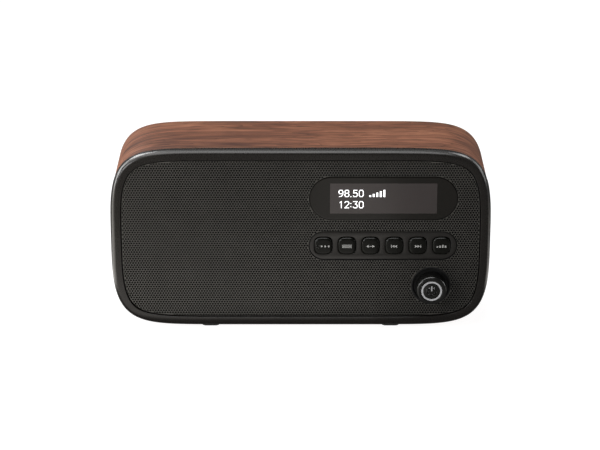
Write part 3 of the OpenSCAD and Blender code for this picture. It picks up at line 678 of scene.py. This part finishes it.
def perforated(name, hand, centres, holes):
    """The half of the grille to the left (-1) or right (1) of the zigzag, as a closed sheet with its holes."""
    rim = outline(GRILLE_IN) + np.array([MID.x, MID.z])
    inner = [stadium(WIN[1], WIN[2]) + np.array([WIN[0].x, WIN[0].z]),
             stadium(PAN[1], PAN[2]) + np.array([PAN[0].x, PAN[0].z]),
             np.stack([COL[0].x + COL[1] * np.cos(np.linspace(0, 2 * math.pi, 120, endpoint=False)),
                       COL[0].z + COL[1] * np.sin(np.linspace(0, 2 * math.pi, 120, endpoint=False))], 1)]
    keep = side(rim) * hand > 0
    start = int(np.argmax(keep & ~np.roll(keep, 1)))
    rim = np.roll(rim, -start, 0)
    keep = np.roll(keep, -start)
    k = int(keep.sum())
    ends = []
    for pair in (rim[[k - 1, k % len(rim)]], rim[[0, -1]]):      # where the zigzag meets the rim
        d = side(pair)
        ends.append(pair[0] + d[0] / (d[0] - d[1]) * (pair[1] - pair[0]))
    zig = np.stack([SEAM_X, SEAM_Z], 1)
    zig = zig[np.abs(zig[:, 1] - MID.z) < min(abs(q[1] - MID.z) for q in ends) - 0.02 * MM]
    loop = np.vstack([rim[keep], ends[0], zig if ends[0][1] < ends[1][1] else zig[::-1], ends[1]])
    loops = [loop] + [q for q in inner if (q[:, 0].mean() - MID.x) * hand > 0]
    inside = side(centres) * hand > 0
    loops += list(holes[inside])
    pts = np.vstack(loops)
    edges, at = [], 0
    for q in loops:
        n = len(q)
        edges += [(at + i, at + (i + 1) % n) for i in range(n)]
        at += n
    pts0 = pts.mean(0)
    res = delaunay_2d_cdt([Vector(p) for p in (pts - pts0) * 1000], edges, [], 0, 1e-7)
    v = np.array([tuple(p) for p in res[0]]) / 1000 + pts0
    tri = np.array([tuple(f) for f in res[2]])
    # keep triangles that lie in the sheet: not inside a hole, and not outside the loop or past the zigzag
    owner = np.full(len(v), -1)
    for out_i, origs in enumerate(res[3]):
        if origs:
            owner[out_i] = origs[0]
    loop_id = np.concatenate([np.full(len(q), k) for k, q in enumerate(loops)])
    lid = np.where(owner >= 0, loop_id[owner], -1)
    same = (lid[tri[:, 0]] == lid[tri[:, 1]]) & (lid[tri[:, 1]] == lid[tri[:, 2]])
    hole_tri = same & (lid[tri[:, 0]] > 0)
    c = v[tri].mean(1)
    d, _ = sheet_distance(c)
    outside = (same & (lid[tri[:, 0]] == 0) & (d < 0)) | (side(c) * hand < 0)
    tri = tri[~(hole_tri | outside)]
    a, b, cc = v[tri[:, 0]], v[tri[:, 1]], v[tri[:, 2]]
    area2 = (b[:, 0] - a[:, 0]) * (cc[:, 1] - a[:, 1]) - (b[:, 1] - a[:, 1]) * (cc[:, 0] - a[:, 0])
    tri = tri[np.abs(area2) > 1e-15]
    area2 = area2[np.abs(area2) > 1e-15]
    tri = np.where(area2[:, None] > 0, tri, tri[:, ::-1])
    n = len(v)
    f_edges = np.vstack([tri[:, [0, 1]], tri[:, [1, 2]], tri[:, [2, 0]]])
    seen = set(map(tuple, f_edges))
    border = [(p, q) for p, q in seen if (q, p) not in seen]
    yf, yb = gr_lo.y, gr_hi.y
    front = np.stack([v[:, 0], np.full(n, yf), v[:, 1]], 1)
    back = np.stack([v[:, 0], np.full(n, yb), v[:, 1]], 1)
    faces = [tuple(t) for t in tri] + [tuple(t[::-1] + n) for t in tri]
    faces += [(q, p, p + n, q + n) for p, q in border]
    o = mesh_object(name, np.vstack([front, back]), faces, "grille_grey", smooth=40)
    o.data.materials.append(MATS["inner_black"])     # the holes' walls take the darker inner_black as painted shade, to darken the holes
    dark = np.zeros(len(faces), np.int32)
    dark[len(tri):] = 1
    o.data.polygons.foreach_set("material_index", dark)
    return o


centres, holes = hole_outlines()
left = perforated("grille_left", -1, centres, holes)
right = perforated("grille_right", 1, centres, holes)
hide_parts("grille_panel")
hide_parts("grille_panel")

# ---- Display --------------------------------------------------------------------------------
wc = WIN[0]
ww, wh = w_hi.x - w_lo.x, w_hi.z - w_lo.z


def inset_pill(w, h, i):
    return stadium(w - 2 * i, h - 2 * i)


window = capped("window", [(inset_pill(ww, wh, 0.5 * MM), w_lo.y), (inset_pill(ww, wh, 0.15 * MM), w_lo.y + 0.12 * MM),
                           (inset_pill(ww, wh, 0), w_lo.y + 0.4 * MM), (inset_pill(ww, wh, 0), w_hi.y)],
                (wc.x, wc.z), "window_black", smooth=10)
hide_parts("display_window")

SCREEN_W, SCREEN_H = 69.9 * MM, 20.8 * MM
screen_at = (wc.x, wc.z)
screen_y = w_lo.y - 0.02 * MM
screen = capped("screen", [(stadium(SCREEN_W, SCREEN_H, 4, 0.4 * MM), screen_y),
                           (stadium(SCREEN_W, SCREEN_H, 4, 0.4 * MM), w_lo.y + 0.3 * MM)],
                screen_at, "display_grey", smooth=20)


def plate(name, polygons, y, body, slot, material, thick=0.03 * MM):
    """Thin raised shapes, each an outline in x and z, as one object."""
    verts, faces = [], []
    for p in polygons:
        p = np.array(p, float)
        x, z = p[:, 0], p[:, 1]
        if (x * np.roll(z, -1) - np.roll(x, -1) * z).sum() < 0:
            p = p[::-1]
        n, k = len(p), len(verts)
        verts += [(q[0], y, q[1]) for q in p] + [(q[0], y + thick, q[1]) for q in p]
        faces += [tuple(k + i for i in range(n)), tuple(k + n + i for i in reversed(range(n)))]
        faces += [(k + (i + 1) % n, k + i, k + n + i, k + n + (i + 1) % n) for i in range(n)]
    return mesh_object(name, verts, faces, slot, body, 30, material)


def stroke(points, w, closed=False):
    """Quads along a line, each an outline."""
    out = []
    pts = [np.array(p, float) for p in points]
    pairs = list(zip(pts, pts[1:] + pts[:1])) if closed else list(zip(pts, pts[1:]))
    for a, b in pairs:
        d = (b - a) / (np.linalg.norm(b - a) or 1)
        s = np.array([-d[1], d[0]]) * w / 2
        t = d * w / 2
        out.append([a - s - t, b - s + t, b + s + t, a + s - t])
    return out


# Digits as single strokes on a 3.6 by 6 cell
GLYPHS = {
    "0": [(0.9, 0), (2.7, 0), (3.6, 1.2), (3.6, 4.8), (2.7, 6), (0.9, 6), (0, 4.8), (0, 1.2), (0.9, 0)],
    "1": [(0.9, 4.9), (2.2, 6), (2.2, 0)],
    "2": [(0, 4.9), (0.9, 6), (2.7, 6), (3.6, 4.9), (3.6, 3.9), (0.1, 0), (3.6, 0)],
    "3": [(0.2, 6), (3.5, 6), (1.9, 3.5), (2.8, 3.4), (3.6, 2.4), (3.6, 1), (2.7, 0), (0.9, 0), (0, 0.9)],
    "5": [(3.4, 6), (0.6, 6), (0.3, 3.4), (2.6, 3.6), (3.6, 2.6), (3.6, 1), (2.7, 0), (0.9, 0), (0, 0.8)],
    "8": [(1.0, 3.2), (0.2, 4), (0.2, 5.2), (0.9, 6), (2.7, 6), (3.4, 5.2), (3.4, 4), (2.6, 3.2), (1.0, 3.2), (0, 2.2),
          (0, 0.9), (0.9, 0), (2.7, 0), (3.6, 0.9), (3.6, 2.2), (2.6, 3.2)],
    "9": [(0.5, 0), (2.2, 0.2), (3.4, 1.8), (3.6, 4.6), (2.7, 6), (0.9, 6), (0, 4.9), (0, 3.7), (0.9, 2.7), (2.6, 2.7),
          (3.5, 3.6)],
}


def digits(text, x, z, h, w=0.5 * MM):
    """Outlines of a row of digits, with . and : between them; h is the height with the stroke."""
    k, out = (h - w) / 6, []
    x, z = x + w / 2, z + w / 2
    for ch in text:
        if ch in ".:":
            for dz in ([0.0] if ch == "." else [1.2, 4.2]):
                out += stroke([(x, z + dz * k), (x + 0.1 * MM, z + dz * k)], w * 1.15)
            x += 1.1 * MM + w
            continue
        out += stroke([(x + px * k, z + pz * k) for px, pz in GLYPHS[ch]], w)
        x += 3.6 * k + w + 0.75 * MM
    return out, x


text_x = screen_at[0] - SCREEN_W / 2 + 5.5 * MM
row_1, end_1 = digits("98.50", text_x, screen_at[1] + 1.1 * MM, 4.9 * MM)
bar_z = screen_at[1] + 1.1 * MM
bars = [[(end_1 + (2.6 + 2.3 * i) * MM, bar_z), (end_1 + (3.9 + 2.3 * i) * MM, bar_z),
         (end_1 + (3.9 + 2.3 * i) * MM, bar_z + (1.2 + 0.925 * i) * MM),
         (end_1 + (2.6 + 2.3 * i) * MM, bar_z + (1.2 + 0.925 * i) * MM)] for i in range(5)]
row_2, _ = digits("12:30", text_x, screen_at[1] - 6.7 * MM, 4.9 * MM)
plate("screen_digits", row_1 + bars + row_2, screen_y - 0.03 * MM, "cabinet", "display_grey", lit.mat)

# ---- Button panel, keys and their marks -----------------------------------------------------
pc = PAN[0]
pw, ph = p_hi.x - p_lo.x, p_hi.z - p_lo.z
KEYS = ["mode", "menu", "scan", "previous", "next", "preset"]


def button_panel():
    """The panel: a pill with six apertures, with small rounded edges on both."""
    aperture = {k: centre(k + "_button") for k in KEYS}
    size = (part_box("mode_button")[1].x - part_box("mode_button")[0].x - 1.7 * MM) + 0.6 * MM

    def loops(grow):
        out = [inset_pill(pw, ph, -grow)]
        for k in KEYS:
            c = aperture[k]
            out.append(squircle(size - 2 * grow, 3.2) + np.array([c.x - pc.x, c.z - pc.z]))
        return out

    levels = [(loops(-0.3 * MM), p_lo.y), (loops(-0.08 * MM), p_lo.y + 0.08 * MM), (loops(0), p_lo.y + 0.3 * MM), (loops(0), p_hi.y)]
    base = np.vstack(levels[0][0])
    edges, at = [], 0
    for q in levels[0][0]:
        edges += [(at + i, at + (i + 1) % len(q)) for i in range(len(q))]
        at += len(q)
    res = delaunay_2d_cdt([Vector(p) for p in base * 1000], edges, [], 0, 1e-7)
    ids = np.array([o[0] for o in res[3]])
    lid = np.concatenate([np.full(len(q), k) for k, q in enumerate(levels[0][0])])
    tri = [tuple(ids[list(f)]) for f in res[2]]
    tri = [t for t in tri if not (lid[t[0]] == lid[t[1]] == lid[t[2]] and lid[t[0]] > 0)]
    out = []
    for t in tri:
        a, b, c = base[t[0]], base[t[1]], base[t[2]]
        area2 = (b[0] - a[0]) * (c[1] - a[1]) - (b[1] - a[1]) * (c[0] - a[0])
        out.append(t if area2 > 0 else t[::-1])
    n = len(base)
    verts = []
    for lps, y in levels:
        verts += [(pc.x + p[0], y, pc.z + p[1]) for p in np.vstack(lps)]
    faces = list(out) + [tuple(i + 3 * n for i in t[::-1]) for t in out]
    at = 0
    for k, q in enumerate(levels[0][0]):
        for i in range(len(q)):
            a, b = at + i, at + (i + 1) % len(q)
            for lv in range(3):
                f = (b + lv * n, a + lv * n, a + (lv + 1) * n, b + (lv + 1) * n)
                faces.append(f if k == 0 else f[::-1])
        at += len(q)
    o = mesh_object("button_plate", verts, faces, "panel_black", smooth=50)
    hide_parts("button_panel")


button_panel()


def key_marks(kind, c):
    """Small generic signs in place of printed words."""
    m = MM

    def at(points):
        return [(c[0] + x * m, c[1] + z * m) for x, z in points]

    tri = lambda x, s, h=0.95: at([(x, -h), (x + 1.7 * s, 0), (x, h)])
    block = lambda x0, x1, z0, z1: at([(x0, z0), (x1, z0), (x1, z1), (x0, z1)])
    ring = [(0.85 * math.cos(a), 0.85 * math.sin(a)) for a in np.linspace(0, 2 * math.pi, 20, endpoint=False)]
    if kind == "mode":      # ring, dot, dot, dot
        return stroke(at([(x - 3.2, z) for x, z in ring]), 0.34 * m, True) + [
            at([(x + 0.62 * math.cos(a), 0.62 * math.sin(a)) for a in np.linspace(0, 2 * math.pi, 12, endpoint=False)])
            for x in (-0.6, 1.7, 4.0)]
    if kind == "menu":      # lines of a list
        return [block(-3.2, 3.2, z - 0.2, z + 0.2) for z in (-0.85, 0, 0.85)]
    if kind == "scan":      # both ways, with a line between
        return [tri(1.1, 1), tri(-1.1, -1), block(-0.7, 0.7, -0.22, 0.22)]
    if kind == "previous":
        return [tri(1.9, -1), tri(0.2, -1), block(-2.1, -1.6, -0.95, 0.95)]
    if kind == "next":
        return [tri(-1.9, 1), tri(-0.2, 1), block(1.6, 2.1, -0.95, 0.95)]
    return [block(-3.2 + 1.75 * i, -2.1 + 1.75 * i, -0.95, -0.95 + h) for i, h in enumerate((1.0, 1.45, 1.9, 1.45))]


for k in KEYS:
    b_lo, b_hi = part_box(k + "_button")
    c = (b_lo + b_hi) / 2
    w = (b_hi.x - b_lo.x) - 1.7 * MM       # the cap; the flange behind the panel is wider
    yf = b_lo.y
    lv = [(squircle(w - (2 * e_in) * MM, 3.2), yf + dy * MM) for e_in, dy in
          [(1.7, 0.0), (1.15, 0.08), (0.72, 0.26), (0.36, 0.52), (0.12, 0.84), (0, 1.25)]]
    lv += [(squircle(w, 3.2), yf + 3.1 * MM), (squircle(w + 1.7 * MM, 6), yf + 3.15 * MM),
           (squircle(w + 1.7 * MM, 6), yf + 4.0 * MM), (squircle(3.0 * MM, 2), yf + 4.0 * MM), (squircle(3.0 * MM, 2), b_hi.y)]
    cap = capped("key_" + k, lv, (c.x, c.z), "key_black", k + "_key", 50)
    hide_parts(k + "_button")
    plate("mark_" + k, key_marks(k, (c.x - (0.5 * MM if k == "mode" else 0), c.z)), yf - 0.02 * MM, k + "_key",
          "badge_grey", mark_mat, 0.05 * MM)

# ---- Knob -----------------------------------------------------------------------------------
k_lo, k_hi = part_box("knob")
kc = (k_lo + k_hi) / 2
kr = (k_hi.x - k_lo.x) / 2 / MM
kd = (k_hi.y - k_lo.y) / MM
KP = (kc.x, k_lo.y, kc.z)
prof = [(0, 0.45), (6.6, 0.45), (6.85, 0.35), (6.85, 0.12), (6.97, 0)]
prof += [(kr - 1.5 + 1.5 * math.sin(math.radians(a)) - 0.12, 1.5 - 1.5 * math.cos(math.radians(a))) for a in (0, 15, 30, 45, 60, 75, 90)]
prof += [(kr, 3.2), (kr, kd - 0.3), (kr - 0.3, kd), (8.6, kd), (8.4, kd - 0.2), (8.4, kd - 4.2),
         (5.0, kd - 4.2), (5.0, kd - 1.5), (3.02, kd - 1.5), (3.02, 3.2), (0, 3.2)]
knob = lathe("knob_cap", prof, KP, "knob_black", "volume_knob", n=160, smooth=50)
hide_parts("knob")
badge = lathe("knob_ring", [(5.65, 0.44), (5.65, 0.06), (5.72, 0.0), (6.72, 0.0), (6.8, 0.06), (6.8, 0.44)], KP,
              "badge_grey", "volume_knob", n=120)
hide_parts("knob_badge")
disc = lathe("knob_disc", [(0, 0.22), (5.4, 0.22), (5.62, 0.30), (5.62, 0.44), (0, 0.44)], KP, "knob_black", "volume_knob", n=96)
power = [(2.7 * math.sin(a), 2.7 * math.cos(a)) for a in np.linspace(math.radians(38), math.radians(322), 28)]
sign = stroke([(kc.x + x * MM, kc.z + z * MM) for x, z in power], 0.7 * MM)
sign += stroke([(kc.x, kc.z + 0.4 * MM), (kc.x, kc.z + 3.1 * MM)], 0.7 * MM)
plate("knob_sign", sign, k_lo.y + 0.10 * MM, "volume_knob", "badge_grey", MATS["badge_grey"], 0.14 * MM)
cy = c_lo.y
depth = (c_hi.y - c_lo.y) / MM
collar = lathe("collar", [(3.6, depth - 0.8), (11.3, depth - 0.8), (11.6, depth - 0.9), (12.0, 0.5), (12.15, 0.12), (12.35, 0),
                          (12.85, 0), (13.05, 0.1), (13.1, 0.3), (13.1, depth), (3.6, depth)],
               (COL[0].x, cy, COL[0].z), "inner_black", n=140)
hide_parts("knob_collar")

# ---- Mast: tubes with rolled ends, and the rod with its tip -----------------------------------
for i in (2, 3, 4):
    t_lo, t_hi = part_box("mast_tube_%d" % i)
    length, ro = (t_hi.x - t_lo.x) / MM, (t_hi.z - t_lo.z) / 2 / MM
    ri = ro - 0.35
    tube = lathe("mast_section_%d" % i,
                 [(ri, 0), (ro - 0.08, 0), (ro, 0.08), (ro, length - 1.3), (ro - 0.08, length - 0.8),
                  (ro - 0.25, length - 0.2), (ro - 0.3, length), (ri - 0.03, length), (ri - 0.03, length - 0.6), (ri, length - 0.9)],
                 (t_hi.x, (t_lo.y + t_hi.y) / 2, (t_lo.z + t_hi.z) / 2), "mast_chrome", "mast_section_%d" % i, "-x", 48)
    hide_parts("mast_tube_%d" % i)
r_lo, r_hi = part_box("mast_rod")
length, rt = (r_hi.x - r_lo.x) / MM, (r_hi.z - r_lo.z) / 2 / MM
rod = lathe("mast_tip", [(0, 0), (1.2, 0), (1.3, 0.1), (1.3, length - 5.0), (rt - 0.3, length - 5.0), (rt, length - 4.7),
                         (rt, length - 3.9), (rt - 0.25, length - 3.75), (rt - 0.25, length - 3.5), (rt, length - 3.35),
                         (rt, length - 0.9), (rt - 0.25, length - 0.35), (rt - 0.8, length - 0.06), (0, length)],
            (r_hi.x, (r_lo.y + r_hi.y) / 2, (r_lo.z + r_hi.z) / 2), "mast_chrome", "mast_section_5", "-x", 64)
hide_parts("mast_rod")

# ---- The rest of the CAD nodes: softened edges ----------------------------------------------
SOFT = {"rear_panel": 0.5, "rear_frame": 0.4, "feet": 0.35, "mast_swivel": 0.2, "mast_tube_1": 0.15, "headphone_jack": 0.2,
        "line_in_jack": 0.2, "power_inlet": 0.2, "service_port": 0.15, "rear_screws": 0.15, "tuner_shield": 0.2,
        "heat_sink": 0.15, "main_board": 0.15, "control_board": 0.15, "display_board": 0.15, "board_parts": 0.2,
        "speaker_basket": 0.3, "speaker_magnet": 0.4, "speaker_yoke": 0.3, "front_baffle": 0.25, "button_switches": 0.15,
        "encoder_housing": 0.15}
for name, width in SOFT.items():
    b = frame["nodes"][name].modifiers.new("soft_edges", "BEVEL")
    b.width = width * MM
    b.segments = 2
    b.limit_method = "ANGLE"
    b.angle_limit = math.radians(40)

size = {"cad": [list(v) for v in cad_box], "visual": [list(v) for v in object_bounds()]}
